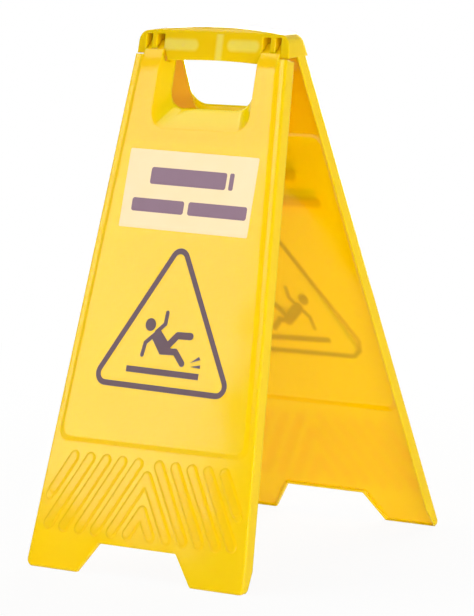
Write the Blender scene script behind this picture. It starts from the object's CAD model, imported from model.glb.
"""Folding floor warning sign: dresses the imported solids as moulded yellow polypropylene.

The moulded solids stay as the CAD gives them and get their finishes here. The chevron ribs get a
rounded skin, made by Geometry Nodes, because moulded ribs have soft flanks. Sizes are in
millimetres where a name ends in _mm, and Blender's metres elsewhere.
"""

import logging
import math
from dataclasses import dataclass
from enum import Enum
from typing import Any

import bpy
from mathutils import Matrix, Vector


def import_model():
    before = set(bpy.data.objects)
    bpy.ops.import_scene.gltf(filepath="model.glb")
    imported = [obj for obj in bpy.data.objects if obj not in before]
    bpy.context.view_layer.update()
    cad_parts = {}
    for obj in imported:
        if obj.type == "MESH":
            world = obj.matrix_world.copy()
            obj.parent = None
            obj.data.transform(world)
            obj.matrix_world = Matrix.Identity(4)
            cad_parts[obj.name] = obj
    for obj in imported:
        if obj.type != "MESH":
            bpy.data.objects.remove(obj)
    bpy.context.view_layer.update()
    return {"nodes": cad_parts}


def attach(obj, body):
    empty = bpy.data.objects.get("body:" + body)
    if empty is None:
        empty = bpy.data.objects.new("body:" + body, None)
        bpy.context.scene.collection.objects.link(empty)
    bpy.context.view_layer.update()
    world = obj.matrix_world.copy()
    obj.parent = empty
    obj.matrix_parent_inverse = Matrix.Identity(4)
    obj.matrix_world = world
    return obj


log = logging.getLogger("floor_sign")

MM = 0.001
IMAGE_WIDTH_PX = 474

Point = tuple[float, float]


def linear(code: str) -> tuple[float, float, float, float]:
    """Turn an sRGB hex code into linear colour.

    Args:
        code: Six hex digits, with or without a leading hash.

    Returns:
        Linear red, green and blue, with an alpha of 1.
    """
    digits = code.lstrip("#")
    shares = [int(digits[i : i + 2], 16) / 255 for i in (0, 2, 4)]
    red, green, blue = (c / 12.92 if c <= 0.04045 else ((c + 0.055) / 1.055) ** 2.4 for c in shares)
    return (red, green, blue, 1.0)


def add_node(
    tree: bpy.types.NodeTree,
    kind: str,
    settings: dict[str, Any] | None = None,
    inputs: dict[int | str, Any] | None = None,
) -> bpy.types.Node:
    """Add a node with its settings, and link or set its inputs.

    Args:
        tree: Node tree that gets the node.
        kind: Type name of the node.
        settings: Values for the node's own properties.
        inputs: For each socket, by name or index, a socket to link from or a value to set.

    Returns:
        The new node.
    """
    node = tree.nodes.new(kind)
    for name, value in (settings or {}).items():
        setattr(node, name, value)
    for key, value in (inputs or {}).items():
        socket = node.inputs[key]
        if isinstance(value, bpy.types.NodeSocket):
            tree.links.new(value, socket)
        else:
            socket.default_value = value
    return node


class Side(Enum):
    """The two panels, which are also the two bodies that the hinge joins."""

    FRONT = "front"
    REAR = "rear"

    @property
    def facing(self) -> int:
        """Return 1 for the front panel and -1 for the rear one, which faces the other way."""
        return 1 if self is Side.FRONT else -1


@dataclass(frozen=True)
class PanelPlace:
    """Where a leaning panel stands, by its height along the slope and its depth inward."""

    side: Side
    lean_deg: float = 17.3
    hinge_v_mm: float = 596.0
    axis_depth_mm: float = 16.0

    @property
    def lean(self) -> float:
        """Return the lean from upright in radians."""
        return math.radians(self.lean_deg)

    @property
    def across(self) -> Vector:
        """Return the direction across the panel."""
        return Vector((self.side.facing, 0, 0))

    @property
    def upward(self) -> Vector:
        """Return the direction up along the panel."""
        return Vector((0, self.side.facing * math.sin(self.lean), math.cos(self.lean)))

    @property
    def outward(self) -> Vector:
        """Return the direction out of the panel's outer face."""
        return Vector((0, -self.side.facing * math.cos(self.lean), math.sin(self.lean)))

    @property
    def hinge(self) -> Vector:
        """Return the middle of the hinge's axis, in metres."""
        height = self.hinge_v_mm * math.cos(self.lean) - self.axis_depth_mm * math.sin(self.lean)
        return Vector((0, 0, height)) * MM

    @property
    def foot(self) -> Vector:
        """Return the point of the outer face's centre line where its height is zero, in metres."""
        return self.hinge + (self.outward * self.axis_depth_mm - self.upward * self.hinge_v_mm) * MM

    def matrix(self) -> Matrix:
        """Return the matrix from across, up and outward distances to the shared frame."""
        columns = (self.across, self.upward, self.outward, self.foot)
        return Matrix([[column[row] for column in columns] for row in range(3)] + [[0, 0, 0, 1]])


@dataclass(frozen=True)
class Bar:
    """A rounded bar between two points in millimetres, or a disc where both points are the same."""

    start_mm: Point
    end_mm: Point
    radius_mm: float

    def closeness(
        self, tree: bpy.types.NodeTree, flat: bpy.types.NodeSocket, blur_mm: float
    ) -> bpy.types.NodeSocket:
        """Give 1 inside the bar and fall softly to 0 outside it.

        Args:
            tree: The material's node tree.
            flat: Socket with the place on the face, across and up.
            blur_mm: Width of the soft edge.

        Returns:
            Socket with the share.
        """
        start = Vector((*self.start_mm, 0)) * MM
        run = Vector((*self.end_mm, 0)) * MM - start
        nearest: Any = start
        if run.length > 0:
            offset = add_node(
                tree, "ShaderNodeVectorMath", {"operation": "SUBTRACT"}, {0: flat, 1: start}
            )
            along = add_node(
                tree,
                "ShaderNodeVectorMath",
                {"operation": "DOT_PRODUCT"},
                {0: offset.outputs[0], 1: run / run.length_squared},
            )
            share = add_node(tree, "ShaderNodeClamp", {}, {"Value": along.outputs["Value"]}).outputs[0]
            reach = add_node(
                tree, "ShaderNodeVectorMath", {"operation": "SCALE"}, {0: run, "Scale": share}
            ).outputs[0]
            nearest = add_node(
                tree, "ShaderNodeVectorMath", {"operation": "ADD"}, {0: reach, 1: start}
            ).outputs[0]
        distance = add_node(
            tree, "ShaderNodeVectorMath", {"operation": "DISTANCE"}, {0: flat, 1: nearest}
        ).outputs["Value"]
        inner = (self.radius_mm - blur_mm / 2) * MM
        return add_node(
            tree,
            "ShaderNodeMapRange",
            {"interpolation_type": "SMOOTHSTEP"},
            {0: distance, 1: inner, 2: inner + blur_mm * MM, 3: 1.0, 4: 0.0},
        ).outputs["Result"]


@dataclass(frozen=True)
class Marks:
    """Soft-edged bars of another tone on the faces of a moulding that face one way."""

    bars: tuple[Bar, ...]
    tone: str
    blur_mm: float
    origin: Vector
    across: Vector
    upward: Vector
    facing: Vector
    facing_from: float
    facing_to: float

    def over(
        self, tree: bpy.types.NodeTree, place: bpy.types.NodeSocket, colour: Any
    ) -> bpy.types.NodeSocket:
        """Lay the marks over a colour.

        Args:
            tree: The material's node tree.
            place: Socket with Object coordinates.
            colour: Colour below, as a socket or a value.

        Returns:
            Socket with the marked colour.
        """
        moved = add_node(
            tree, "ShaderNodeVectorMath", {"operation": "SUBTRACT"}, {0: place, 1: self.origin}
        ).outputs[0]
        measured = [
            add_node(
                tree, "ShaderNodeVectorMath", {"operation": "DOT_PRODUCT"}, {0: moved, 1: axis}
            ).outputs["Value"]
            for axis in (self.across, self.upward)
        ]
        flat = add_node(tree, "ShaderNodeCombineXYZ", {}, {0: measured[0], 1: measured[1]}).outputs[0]
        mask: Any = 0.0
        for bar in self.bars:
            near = bar.closeness(tree, flat, self.blur_mm)
            mask = add_node(
                tree, "ShaderNodeMath", {"operation": "MAXIMUM"}, {0: mask, 1: near}
            ).outputs[0]
        normal = add_node(tree, "ShaderNodeNewGeometry").outputs["True Normal"]
        turned = add_node(
            tree, "ShaderNodeVectorMath", {"operation": "DOT_PRODUCT"}, {0: normal, 1: self.facing}
        ).outputs["Value"]
        faces = add_node(
            tree, "ShaderNodeMapRange", {}, {0: turned, 1: self.facing_from, 2: self.facing_to}
        ).outputs["Result"]
        share = add_node(
            tree, "ShaderNodeMath", {"operation": "MULTIPLY"}, {0: mask, 1: faces}
        ).outputs[0]
        return add_node(
            tree, "ShaderNodeMix", {"data_type": "RGBA"}, {0: share, 6: colour, 7: linear(self.tone)}
        ).outputs[2]


@dataclass(frozen=True)
class PrintShadow:
    """Print of a panel's outer face, as it darkens the translucent sheet seen from inside.

    Points are millimetres across and up the panel, from the foot of its centre line.
    """

    base_mm: float = 212.0
    half_base_mm: float = 106.0
    apex_mm: float = 366.0
    corner_mm: float = 15.5
    line_mm: float = 2.7
    corner_steps: int = 4
    ink_tone: str = "#dab203"
    ink_blur_mm: float = 5.0
    label_tone: str = "#e2b603"
    label_blur_mm: float = 7.0
    facing_from: float = 0.8
    facing_to: float = 0.95
    figure: tuple[Bar, ...] = (
        Bar((-49, 230), (49, 227), 3.4),
        Bar((-26, 279.5), (-26, 279.5), 6.6),
        Bar((-16, 269), (2, 252), 7.0),
        Bar((3, 256), (16, 270), 3.6),
        Bar((16, 270), (30, 270), 3.6),
        Bar((0, 251), (14, 251), 3.6),
        Bar((14, 251), (24, 240), 3.6),
        Bar((-16, 270), (-6, 281), 2.4),
        Bar((-6, 281), (-4.5, 293), 2.4),
        Bar((-18, 268), (-30, 258), 2.4),
        Bar((-30, 258), (-33, 244), 2.4),
    )
    label: tuple[Bar, ...] = (
        Bar((-46, 437), (42, 437), 7.0),
        Bar((-73, 404.5), (-12, 404.5), 6.5),
        Bar((12, 404.5), (73, 404.5), 6.5),
    )

    def triangle(self) -> tuple[Bar, ...]:
        """Draw the triangle's line with its rounded corners.

        Returns:
            Bars end to end.
        """
        corners = [
            Vector((-self.half_base_mm, self.base_mm)),
            Vector((self.half_base_mm, self.base_mm)),
            Vector((0.0, self.apex_mm)),
        ]
        path: list[Vector] = []
        for index, corner in enumerate(corners):
            back = (corners[index - 1] - corner).normalized()
            ahead = (corners[(index + 1) % len(corners)] - corner).normalized()
            half_angle = back.angle(ahead) / 2
            cut = self.corner_mm / math.tan(half_angle)
            centre = corner + (back + ahead).normalized() * self.corner_mm / math.sin(half_angle)
            first = corner + back * cut - centre
            last = corner + ahead * cut - centre
            for step in range(self.corner_steps + 1):
                mixed = first.lerp(last, step / self.corner_steps)
                path.append(centre + mixed.normalized() * self.corner_mm)
        return tuple(
            Bar(tuple(start), tuple(end), self.line_mm) for start, end in zip(path, path[1:] + path[:1])
        )

    def marks(self, place: PanelPlace) -> tuple[Marks, ...]:
        """Lay the shadow on a panel's inner face.

        Args:
            place: Where the panel stands.

        Returns:
            Marks of the screen print, then of the label.
        """
        layers = (
            (self.triangle() + self.figure, self.ink_tone, self.ink_blur_mm),
            (self.label, self.label_tone, self.label_blur_mm),
        )
        return tuple(
            Marks(
                bars=bars,
                tone=tone,
                blur_mm=blur,
                origin=place.foot,
                across=place.across,
                upward=place.upward,
                facing=-place.outward,
                facing_from=self.facing_from,
                facing_to=self.facing_to,
            )
            for bars, tone, blur in layers
        )


@dataclass(frozen=True)
class HandleMarks:
    """Soft paler places on the handle's front face.

    Points are millimetres across and up from the middle of the hinge's axis.
    """

    tone: str = "#ffdc5c"
    blur_mm: float = 5.0
    facing_from: float = 0.96
    facing_to: float = 0.975
    above_hinge: tuple[Bar, ...] = (
        Bar((8, -14), (10, 30), 4.2),
        Bar((-62, 3.5), (-26, 3.5), 6.0),
        Bar((26, 4.5), (57, 4.5), 6.0),
    )

    def marks(self, hinge: Vector) -> Marks:
        """Lay the marks, which only faces as upright as the handle's front take.

        Args:
            hinge: Middle of the hinge's axis, in metres.

        Returns:
            The marks.
        """
        return Marks(
            bars=self.above_hinge,
            tone=self.tone,
            blur_mm=self.blur_mm,
            origin=hinge,
            across=Vector((1, 0, 0)),
            upward=Vector((0, 0, 1)),
            facing=Vector((0, -1, 0)),
            facing_from=self.facing_from,
            facing_to=self.facing_to,
        )


@dataclass(frozen=True)
class MouldedPolypropylene:
    """Injection-moulded polypropylene, pigmented yellow: glossy, a little translucent.

    The polished mould gives a clear but soft reflection, which the slow sink of the cooling sheet
    makes wander.
    """

    name: str
    marks: tuple[Marks, ...]
    colour: str = "#f8ca03"
    scatter_mm: float = 5.5
    scatter_shares: tuple[float, float, float] = (1.0, 1.0, 0.03)
    roughness: float = 0.09
    roughness_swing: float = 0.03
    ior: float = 1.49
    specular: float = 0.2
    edge_round_mm: float = 2.2
    edge_samples: int = 6
    sink_mm: float = 70.0
    sink_depth_mm: float = 0.6
    sink_low: float = 0.3
    sink_high: float = 0.7
    grain_mm: float = 1.6
    grain_depth_mm: float = 0.02

    def build(self) -> bpy.types.Material:
        """Build the material.

        Returns:
            A material that reads Object coordinates.
        """
        material = bpy.data.materials.new(self.name)
        material.use_nodes = True
        tree = material.node_tree
        tree.nodes.clear()
        place = add_node(tree, "ShaderNodeTexCoord").outputs["Object"]
        colour: Any = linear(self.colour)
        for marks in self.marks:
            colour = marks.over(tree, place, colour)
        rounded = add_node(
            tree,
            "ShaderNodeBevel",
            {"samples": self.edge_samples},
            {"Radius": self.edge_round_mm * MM},
        )
        sink = add_node(
            tree,
            "ShaderNodeTexNoise",
            {},
            {"Vector": place, "Scale": 1 / (self.sink_mm * MM), "Detail": 1.0},
        )
        wander = add_node(
            tree,
            "ShaderNodeBump",
            {},
            {
                "Strength": 1.0,
                "Distance": self.sink_depth_mm * MM,
                "Height": sink.outputs[0],
                "Normal": rounded.outputs[0],
            },
        )
        # Mould grain is about 0.1 mm across, drawn as coarse as a pixel so that it shows at all.
        grain = add_node(
            tree,
            "ShaderNodeTexNoise",
            {},
            {"Vector": place, "Scale": 1 / (self.grain_mm * MM), "Detail": 2.0},
        )
        surface = add_node(
            tree,
            "ShaderNodeBump",
            {},
            {
                "Strength": 0.5,
                "Distance": self.grain_depth_mm * MM,
                "Height": grain.outputs[0],
                "Normal": wander.outputs[0],
            },
        )
        gloss = add_node(
            tree,
            "ShaderNodeMapRange",
            {},
            {
                "Value": sink.outputs[0],
                "From Min": self.sink_low,
                "From Max": self.sink_high,
                "To Min": self.roughness - self.roughness_swing,
                "To Max": self.roughness + self.roughness_swing,
            },
        )
        shader = add_node(
            tree,
            "ShaderNodeBsdfPrincipled",
            {},
            {
                "Base Color": colour,
                "Roughness": gloss.outputs["Result"],
                "IOR": self.ior,
                "Specular IOR Level": self.specular,
                "Subsurface Weight": 1.0,
                "Subsurface Radius": self.scatter_shares,
                "Subsurface Scale": self.scatter_mm * MM,
                "Normal": surface.outputs[0],
            },
        )
        add_node(tree, "ShaderNodeOutputMaterial", {}, {"Surface": shader.outputs[0]})
        return material


@dataclass(frozen=True)
class PrintedFinish:
    """A printed or laminated layer on the moulding: film or ink, as thin as a hair.

    Film is translucent vinyl that the yellow warms from below. Screen ink dries to a soft gloss.
    """

    name: str
    colour: str
    mottle: str
    roughness: float
    mottle_mm: float
    specular: float = 0.2
    relief_mm: float = 0.03

    def build(self) -> bpy.types.Material:
        """Build the material.

        Returns:
            A material that reads Object coordinates.
        """
        material = bpy.data.materials.new(self.name)
        material.use_nodes = True
        tree = material.node_tree
        tree.nodes.clear()
        place = add_node(tree, "ShaderNodeTexCoord").outputs["Object"]
        cloud = add_node(
            tree,
            "ShaderNodeTexNoise",
            {},
            {"Vector": place, "Scale": 1 / (self.mottle_mm * MM), "Detail": 3.0},
        ).outputs[0]
        colour = add_node(
            tree,
            "ShaderNodeMix",
            {"data_type": "RGBA"},
            {0: cloud, 6: linear(self.colour), 7: linear(self.mottle)},
        ).outputs[2]
        relief = add_node(
            tree,
            "ShaderNodeBump",
            {},
            {"Strength": 0.4, "Distance": self.relief_mm * MM, "Height": cloud},
        )
        shader = add_node(
            tree,
            "ShaderNodeBsdfPrincipled",
            {},
            {
                "Base Color": colour,
                "Roughness": self.roughness,
                "Specular IOR Level": self.specular,
                "Normal": relief.outputs[0],
            },
        )
        add_node(tree, "ShaderNodeOutputMaterial", {}, {"Surface": shader.outputs[0]})
        return material


@dataclass
class ChevronRibs:
    """Rounded skin over the nested chevron ribs near a panel's foot.

    The innermost rib's feet stand first_share of a pitch from the centre line. The sheet that is
    raised into ribs is margin_share base radii larger than the ribs' centre lines.
    """

    place: PanelPlace
    material: bpy.types.Material
    pitch_mm: float = 22.3
    angle_deg: float = 30.5
    top_mm: float = 127.0
    foot_mm: float = 49.0
    count: int = 7
    first_share: float = 0.7
    side_mm: float = 126.1
    flat_radius_mm: float = 4.7
    base_radius_mm: float = 7.4
    height_mm: float = 1.25
    dip_mm: float = 0.04
    cell_mm: float = 0.8
    margin_share: float = 2.4

    def make(self) -> bpy.types.Object:
        """Make the skin as one plain mesh on its panel.

        Returns:
            The finished object, at the origin.
        """
        name = f"{self.place.side.value}_rib_skin"
        holder = bpy.data.objects.new(name + "_source", bpy.data.meshes.new(name + "_source"))
        bpy.context.scene.collection.objects.link(holder)
        tree = self._tree(name)
        modifier = holder.modifiers.new("Ribs", "NODES")
        modifier.node_group = tree
        self._set_inputs(modifier, tree)
        graph = bpy.context.evaluated_depsgraph_get()
        mesh = bpy.data.meshes.new_from_object(holder.evaluated_get(graph))
        holder.modifiers.remove(modifier)
        bpy.data.objects.remove(holder)
        mesh.name = name
        mesh.transform(self.place.matrix())
        skin = bpy.data.objects.new(name, mesh)
        bpy.context.scene.collection.objects.link(skin)
        log.info("%s: %d faces", name, len(mesh.polygons))
        return skin

    def _set_inputs(self, modifier: bpy.types.Modifier, tree: bpy.types.NodeTree) -> None:
        """Set the modifier's sizes by each socket's identifier.

        Args:
            modifier: The Geometry Nodes modifier.
            tree: Its node group.
        """
        values = {
            "Pitch": self.pitch_mm * MM,
            "Slope": math.tan(math.radians(self.angle_deg)),
            "Top": self.top_mm * MM,
            "Foot": self.foot_mm * MM,
            "Side": self.side_mm * MM,
            "Count": self.count,
            "Flat Radius": self.flat_radius_mm * MM,
            "Base Radius": self.base_radius_mm * MM,
            "Height": self.height_mm * MM,
            "Cell": self.cell_mm * MM,
            "Material": self.material,
        }
        for item in tree.interface.items_tree:
            if item.item_type == "SOCKET" and item.in_out == "INPUT":
                modifier[item.identifier] = values[item.name]

    def _tree(self, name: str) -> bpy.types.NodeTree:
        """Build the node group: rib centre lines, and a fine sheet raised near them.

        Args:
            name: Name of the node group.

        Returns:
            The node group.
        """
        tree = bpy.data.node_groups.new(name, "GeometryNodeTree")
        sockets = (
            ("Pitch", "NodeSocketFloat"),
            ("Slope", "NodeSocketFloat"),
            ("Top", "NodeSocketFloat"),
            ("Foot", "NodeSocketFloat"),
            ("Side", "NodeSocketFloat"),
            ("Count", "NodeSocketInt"),
            ("Flat Radius", "NodeSocketFloat"),
            ("Base Radius", "NodeSocketFloat"),
            ("Height", "NodeSocketFloat"),
            ("Cell", "NodeSocketFloat"),
            ("Material", "NodeSocketMaterial"),
        )
        for label, kind in sockets:
            tree.interface.new_socket(label, in_out="INPUT", socket_type=kind)
        tree.interface.new_socket("Geometry", in_out="OUTPUT", socket_type="NodeSocketGeometry")
        given = add_node(tree, "NodeGroupInput").outputs
        sizes = self._worked_out(tree, given)
        lines = self._centre_lines(tree, sizes)
        raised = self._raised_sheet(tree, given, sizes, lines)
        real = add_node(tree, "GeometryNodeRealizeInstances", {}, {"Geometry": raised})
        dressed = add_node(
            tree,
            "GeometryNodeSetMaterial",
            {},
            {"Geometry": real.outputs[0], "Material": given["Material"]},
        )
        add_node(tree, "NodeGroupOutput", {}, {0: dressed.outputs[0]})
        return tree

    def _worked_out(
        self, tree: bpy.types.NodeTree, given: bpy.types.NodeOutputs
    ) -> dict[str, bpy.types.NodeSocket]:
        """Work out the places of the ribs' legs and the size of the sheet, sum by sum.

        A leg is half a rib. Point 0 of a leg is its foot and point 1 its top, and each two legs
        stand on the left and the right of the centre line.

        Args:
            tree: The node group.
            given: The group's input sockets.

        Returns:
            Socket for each name in the table of sums.
        """
        index = add_node(tree, "GeometryNodeInputIndex").outputs[0]
        known: dict[str, Any] = {item.name: item for item in given if item.name} | {"index": index}
        sums = (
            ("legs", "MULTIPLY", "Count", 2.0),
            ("leg_share", "DIVIDE", "index", 2.0),
            ("leg", "FLOOR", "leg_share", 0.0),
            ("end", "MODULO", "index", 2.0),
            ("rib_share", "DIVIDE", "leg", 2.0),
            ("rib", "FLOOR", "rib_share", 0.0),
            ("half", "MODULO", "leg", 2.0),
            ("twice_half", "MULTIPLY", "half", 2.0),
            ("way", "SUBTRACT", "twice_half", 1.0),
            ("seat", "ADD", "rib", self.first_share),
            ("foot_u", "MULTIPLY", "seat", "Pitch"),
            ("full_rise", "DIVIDE", "foot_u", "Slope"),
            ("apex", "ADD", "Foot", "full_rise"),
            ("top_v", "MINIMUM", "apex", "Top"),
            ("climb", "SUBTRACT", "top_v", "Foot"),
            ("inward", "MULTIPLY", "climb", "Slope"),
            ("top_u", "SUBTRACT", "foot_u", "inward"),
            ("past_side", "SUBTRACT", "foot_u", "Side"),
            ("over", "MAXIMUM", "past_side", 0.0),
            ("low_u", "SUBTRACT", "foot_u", "over"),
            ("lift", "DIVIDE", "over", "Slope"),
            ("low_v", "ADD", "Foot", "lift"),
            ("low_x", "MULTIPLY", "low_u", "way"),
            ("top_x", "MULTIPLY", "top_u", "way"),
            ("margin", "MULTIPLY", "Base Radius", self.margin_share),
            ("span", "MULTIPLY", "Side", 2.0),
            ("width", "ADD", "span", "margin"),
            ("rib_height", "SUBTRACT", "Top", "Foot"),
            ("height", "ADD", "rib_height", "margin"),
            ("both_ends", "ADD", "Top", "Foot"),
            ("middle", "MULTIPLY", "both_ends", 0.5),
            ("column_share", "DIVIDE", "width", "Cell"),
            ("columns", "CEIL", "column_share", 0.0),
            ("row_share", "DIVIDE", "height", "Cell"),
            ("rows", "CEIL", "row_share", 0.0),
        )
        for name, operation, *terms in sums:
            inputs = {place: known.get(term, term) for place, term in enumerate(terms)}
            known[name] = add_node(tree, "ShaderNodeMath", {"operation": operation}, inputs).outputs[0]
        return known

    def _centre_lines(
        self, tree: bpy.types.NodeTree, sizes: dict[str, bpy.types.NodeSocket]
    ) -> bpy.types.NodeSocket:
        """Lay one straight edge for each leg of each rib.

        Args:
            tree: The node group.
            sizes: Sockets with the worked-out sizes.

        Returns:
            Socket with the edges.
        """
        seats = add_node(tree, "GeometryNodeMeshLine", {}, {"Count": sizes["legs"]}).outputs[0]
        leg = add_node(tree, "GeometryNodeMeshLine", {}, {"Count": 2}).outputs[0]
        placed = add_node(
            tree, "GeometryNodeInstanceOnPoints", {}, {"Points": seats, "Instance": leg}
        )
        edges = add_node(
            tree, "GeometryNodeRealizeInstances", {}, {"Geometry": placed.outputs[0]}
        ).outputs[0]
        low, top = (
            add_node(tree, "ShaderNodeCombineXYZ", {}, {"X": sizes[across], "Y": sizes[up]}).outputs[0]
            for across, up in (("low_x", "low_v"), ("top_x", "top_v"))
        )
        spot = add_node(
            tree, "ShaderNodeMix", {"data_type": "VECTOR"}, {0: sizes["end"], 4: low, 5: top}
        ).outputs[1]
        return add_node(
            tree, "GeometryNodeSetPosition", {}, {"Geometry": edges, "Position": spot}
        ).outputs[0]

    def _raised_sheet(
        self,
        tree: bpy.types.NodeTree,
        given: bpy.types.NodeOutputs,
        sizes: dict[str, bpy.types.NodeSocket],
        lines: bpy.types.NodeSocket,
    ) -> bpy.types.NodeSocket:
        """Raise a fine sheet near the centre lines and drop the rest of it.

        Args:
            tree: The node group.
            given: The group's input sockets.
            sizes: Sockets with the worked-out sizes.
            lines: Socket with the ribs' centre lines.

        Returns:
            Socket with the raised ribs.
        """
        sheet = add_node(
            tree,
            "GeometryNodeMeshGrid",
            {},
            {
                "Size X": sizes["width"],
                "Size Y": sizes["height"],
                "Vertices X": sizes["columns"],
                "Vertices Y": sizes["rows"],
            },
        ).outputs[0]
        centre = add_node(tree, "ShaderNodeCombineXYZ", {}, {"Y": sizes["middle"]}).outputs[0]
        lifted = add_node(
            tree, "GeometryNodeTransform", {}, {"Geometry": sheet, "Translation": centre}
        ).outputs[0]
        near = add_node(
            tree, "GeometryNodeProximity", {"target_element": "EDGES"}, {0: lines}
        ).outputs["Distance"]
        # The skin runs out just below the sheet, so that no edge shows.
        rise = add_node(
            tree,
            "ShaderNodeMapRange",
            {"interpolation_type": "SMOOTHSTEP"},
            {
                "Value": near,
                "From Min": given["Flat Radius"],
                "From Max": given["Base Radius"],
                "To Min": given["Height"],
                "To Max": -self.dip_mm * MM,
            },
        ).outputs["Result"]
        offset = add_node(tree, "ShaderNodeCombineXYZ", {}, {"Z": rise}).outputs[0]
        stored = add_node(
            tree,
            "GeometryNodeStoreNamedAttribute",
            {"data_type": "FLOAT", "domain": "POINT"},
            {"Geometry": lifted, "Name": "distance", "Value": near},
        ).outputs[0]
        raised = add_node(
            tree, "GeometryNodeSetPosition", {}, {"Geometry": stored, "Offset": offset}
        ).outputs[0]
        distance = add_node(
            tree, "GeometryNodeInputNamedAttribute", {"data_type": "FLOAT"}, {"Name": "distance"}
        ).outputs["Attribute"]
        far = add_node(
            tree,
            "FunctionNodeCompare",
            {"data_type": "FLOAT", "operation": "GREATER_THAN"},
            {0: distance, 1: given["Base Radius"]},
        ).outputs[0]
        kept = add_node(
            tree,
            "GeometryNodeDeleteGeometry",
            {"domain": "FACE"},
            {"Geometry": raised, "Selection": far},
        ).outputs[0]
        return add_node(tree, "GeometryNodeSetShadeSmooth", {}, {"Geometry": kept}).outputs[0]


@dataclass
class Sign:
    """The whole sign: its moulded nodes with their finishes, and the skin over its ribs."""

    nodes: dict[str, bpy.types.Object]

    def dress(self) -> dict[Side, list[bpy.types.Object]]:
        """Give every node its finish and add the rib skins.

        Returns:
            Each panel's pieces.
        """
        pieces: dict[Side, list[bpy.types.Object]] = {}
        film = PrintedFinish(
            "vinyl_label_film", "#ffe2ae", mottle="#ffe7bd", roughness=0.34, mottle_mm=30.0
        ).build()
        ink = PrintedFinish(
            "screen_print_ink", "#655058", mottle="#715b64", roughness=0.36, mottle_mm=22.0
        ).build()
        label_ink = PrintedFinish(
            "label_ink", "#8b6f80", mottle="#927788", roughness=0.38, mottle_mm=18.0
        ).build()
        # Light scatters a shorter way in the ribs' skin, so that its rim does not darken.
        rib_plastic = MouldedPolypropylene("moulded_polypropylene_ribs", (), scatter_mm=0.05).build()
        for side in Side:
            name = side.value
            place = PanelPlace(side)
            marks = PrintShadow().marks(place)
            if side is Side.REAR:
                marks += (HandleMarks().marks(place.hinge),)
            plastic = MouldedPolypropylene(f"moulded_polypropylene_{name}", marks).build()
            skin = ChevronRibs(place, rib_plastic).make()
            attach(skin, name)
            pieces[side] = [
                self._finish(f"{name}_panel", plastic),
                self._see_through(self._finish(f"{name}_label", film)),
                self._finish(f"{name}_label_print", label_ink),
                self._finish(f"{name}_pictogram", ink),
                self._see_through(skin),
            ]
        return pieces

    def _see_through(self, layer: bpy.types.Object) -> bpy.types.Object:
        """Let light pass a thin layer to the sheet below it, and return the layer."""
        layer.visible_shadow = False
        return layer

    def _finish(self, node: str, material: bpy.types.Material) -> bpy.types.Object:
        """Put one material on a CAD node.

        Args:
            node: Name of the node.
            material: Its finish.

        Returns:
            The node's object.
        """
        piece = self.nodes[node]
        piece.data.materials.clear()
        piece.data.materials.append(material)
        log.info("%s: %s", node, material.name)
        return piece


@dataclass(frozen=True)
class Viewpoint:
    """Camera at the photograph's viewing angle, fitted to the sign's corners."""

    azimuth_deg: float = 36.515
    elevation_deg: float = 9.458
    roll_deg: float = -1.808
    distance_mm: float = 4246.6
    target_mm: tuple[float, float, float] = (12.24, 0.0, 273.0)
    focal_px: float = 3799.1
    sensor_mm: float = 36.0

    def make(self) -> bpy.types.Object:
        """Make the camera and make it the scene's own.

        Returns:
            The camera's object.
        """
        azimuth = math.radians(self.azimuth_deg)
        elevation = math.radians(self.elevation_deg)
        roll = math.radians(self.roll_deg)
        back = Vector(
            (
                math.sin(azimuth) * math.cos(elevation),
                -math.cos(azimuth) * math.cos(elevation),
                math.sin(elevation),
            )
        )
        level = (-back).cross(Vector((0, 0, 1))).normalized()
        upright = level.cross(-back)
        right = level * math.cos(roll) + upright * math.sin(roll)
        up = upright * math.cos(roll) - level * math.sin(roll)
        position = (Vector(self.target_mm) + back * self.distance_mm) * MM
        data = bpy.data.cameras.new("photo_camera")
        data.sensor_fit = "HORIZONTAL"
        data.sensor_width = self.sensor_mm
        data.lens = self.focal_px * self.sensor_mm / IMAGE_WIDTH_PX
        data.clip_end = 100.0
        camera = bpy.data.objects.new("photo_camera", data)
        columns = (right, up, back, position)
        camera.matrix_world = Matrix(
            [[column[row] for column in columns] for row in range(3)] + [[0, 0, 0, 1]]
        )
        bpy.context.scene.collection.objects.link(camera)
        bpy.context.scene.camera = camera
        return camera


@dataclass(frozen=True)
class Softbox:
    """A rectangular studio light."""

    name: str
    place: tuple[float, float, float]
    aim: tuple[float, float, float]
    width: float
    height: float
    watts: float
    turn_deg: float = 0.0

    def make(self, lit: list[bpy.types.Object] | None = None) -> None:
        """Make the lamp, aimed at its point and turned about its own axis.

        Args:
            lit: The only pieces that the lamp lights, or None for all. Flags keep it off the rest.
        """
        data = bpy.data.lights.new(self.name, "AREA")
        data.shape = "RECTANGLE"
        data.size = self.width
        data.size_y = self.height
        data.energy = self.watts
        lamp = bpy.data.objects.new(self.name, data)
        aim = (Vector(self.aim) - Vector(self.place)).to_track_quat("-Z", "Y").to_matrix().to_4x4()
        turn = Matrix.Rotation(math.radians(self.turn_deg), 4, "Z")
        lamp.matrix_world = Matrix.Translation(self.place) @ aim @ turn
        bpy.context.scene.collection.objects.link(lamp)
        if lit is not None:
            receivers = bpy.data.collections.new(f"lit_by_{self.name}")
            for piece in lit:
                receivers.objects.link(piece)
            lamp.light_linking.receiver_collection = receivers


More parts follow.
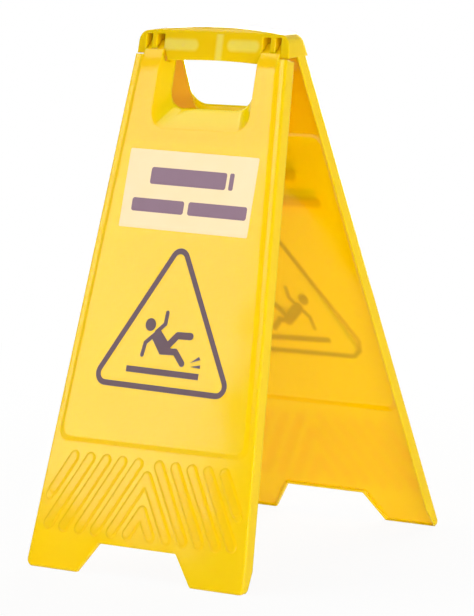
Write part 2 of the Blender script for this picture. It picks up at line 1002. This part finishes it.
@dataclass
class Studio:
    """Pale floor and soft light, with a white background behind."""

    floor_size: float = 12.0
    floor_tone: str = "#f4f3f1"
    near_glow: float = 0.93
    glow_from: float = 0.45
    glow_to: float = 1.4
    fill: float = 0.25
    backdrop_from: float = 0.3
    key: Softbox = Softbox(
        "key_softbox", (-1.559, -1.902, 1.427), (-0.958, -1.163, 1.123), 0.42, 1.5, 12.0, 2.4
    )
    lamps: tuple[Softbox, ...] = (
        Softbox("front_fill", (1.7, -2.3, 0.56), (0.0, 0.0, 0.3), 2.4, 0.9, 28.0),
        Softbox("side_fill", (2.4, -0.7, 0.5), (0.0, 0.1, 0.3), 1.2, 0.9, 20.0),
        Softbox("top_softbox", (-1.25, -0.4, 2.4), (0.0, 0.0, 0.3), 1.4, 1.4, 22.0),
        Softbox("back_fill", (-0.6, 2.4, 1.0), (0.0, 0.0, 0.3), 2.4, 1.8, 62.0),
        Softbox("low_fill", (1.9, -1.9, 0.22), (0.05, 0.15, 0.15), 1.4, 0.36, 9.0),
    )

    def make(self, front_pieces: list[bpy.types.Object]) -> None:
        """Make the floor, the lamps and the world.

        Args:
            front_pieces: What the key lights. Its flag keeps it off the upright handle.
        """
        self._floor()
        self.key.make(front_pieces)
        for lamp in self.lamps:
            lamp.make()
        self._world()
        bpy.context.scene.view_settings.view_transform = "Standard"

    def _floor(self) -> None:
        """Make the floor, a large plain sheet at the foot of the sign."""
        half = self.floor_size / 2
        mesh = bpy.data.meshes.new("studio_floor")
        corners = [(-half, -half, 0), (half, -half, 0), (half, half, 0), (-half, half, 0)]
        mesh.from_pydata(corners, [], [(0, 1, 2, 3)])
        mesh.materials.append(self._floor_material())
        floor = bpy.data.objects.new("studio_floor", mesh)
        bpy.context.scene.collection.objects.link(floor)

    def _floor_material(self) -> bpy.types.Material:
        """Build a matt white floor that turns to the white background away from the sign.

        Returns:
            The floor's material.
        """
        material = bpy.data.materials.new("studio_floor")
        material.use_nodes = True
        tree = material.node_tree
        tree.nodes.clear()
        matt = add_node(tree, "ShaderNodeBsdfDiffuse", {}, {"Color": linear(self.floor_tone)})
        white = add_node(tree, "ShaderNodeEmission", {}, {"Strength": 1.0})
        place = add_node(tree, "ShaderNodeTexCoord").outputs["Object"]
        reach = add_node(
            tree, "ShaderNodeVectorMath", {"operation": "LENGTH"}, {0: place}
        ).outputs["Value"]
        glow = add_node(
            tree,
            "ShaderNodeMapRange",
            {"interpolation_type": "SMOOTHSTEP"},
            {0: reach, 1: self.glow_from, 2: self.glow_to, 3: self.near_glow, 4: 1.0},
        ).outputs["Result"]
        seen = add_node(
            tree,
            "ShaderNodeMath",
            {"operation": "MULTIPLY"},
            {0: self._seen_as_background(tree), 1: glow},
        ).outputs[0]
        mixed = add_node(
            tree, "ShaderNodeMixShader", {}, {0: seen, 1: matt.outputs[0], 2: white.outputs[0]}
        )
        add_node(tree, "ShaderNodeOutputMaterial", {}, {"Surface": mixed.outputs[0]})
        return material

    def _seen_as_background(self, tree: bpy.types.NodeTree) -> bpy.types.NodeSocket:
        """Give 1 for rays that see a background: from the camera, in gloss or through glass.

        Args:
            tree: Node tree that asks.

        Returns:
            Socket with the share.
        """
        ray = add_node(tree, "ShaderNodeLightPath").outputs
        mirrored = add_node(
            tree,
            "ShaderNodeMath",
            {"operation": "MAXIMUM"},
            {0: ray["Is Glossy Ray"], 1: ray["Is Transmission Ray"]},
        ).outputs[0]
        return add_node(
            tree, "ShaderNodeMath", {"operation": "MAXIMUM"}, {0: ray["Is Camera Ray"], 1: mirrored}
        ).outputs[0]

    def _world(self) -> None:
        """Make an even fill light, whose background is white.

        The white backdrop stands behind the sign, so gloss shows it there, and a dim room in front.
        """
        world = bpy.data.worlds.new("studio_world")
        world.use_nodes = True
        tree = world.node_tree
        tree.nodes.clear()
        ray = add_node(tree, "ShaderNodeLightPath").outputs
        fill, white = (
            add_node(tree, "ShaderNodeBackground", {}, {"Color": (1, 1, 1, 1), "Strength": strength})
            for strength in (self.fill, 1.0)
        )
        towards = add_node(tree, "ShaderNodeTexCoord").outputs["Generated"]
        depth = add_node(tree, "ShaderNodeSeparateXYZ", {}, {0: towards}).outputs["Y"]
        behind = add_node(
            tree,
            "ShaderNodeMapRange",
            {},
            {"Value": depth, "From Min": 0.0, "From Max": self.backdrop_from},
        ).outputs["Result"]
        in_front = add_node(
            tree, "ShaderNodeMath", {"operation": "SUBTRACT"}, {0: 1.0, 1: behind}
        ).outputs[0]
        hidden = add_node(
            tree, "ShaderNodeMath", {"operation": "MULTIPLY"}, {0: ray["Is Glossy Ray"], 1: in_front}
        ).outputs[0]
        seen = add_node(
            tree,
            "ShaderNodeMath",
            {"operation": "SUBTRACT", "use_clamp": True},
            {0: self._seen_as_background(tree), 1: hidden},
        ).outputs[0]
        mixed = add_node(
            tree, "ShaderNodeMixShader", {}, {0: seen, 1: fill.outputs[0], 2: white.outputs[0]}
        )
        add_node(tree, "ShaderNodeOutputWorld", {}, {"Surface": mixed.outputs[0]})
        bpy.context.scene.world = world


def main() -> None:
    """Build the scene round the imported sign."""
    logging.basicConfig(level=logging.INFO, format="%(name)s: %(message)s")
    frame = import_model()
    Viewpoint().make()
    pieces = Sign(frame["nodes"]).dress()
    Studio().make(pieces[Side.FRONT])


if __name__ == "__main__":
    main()
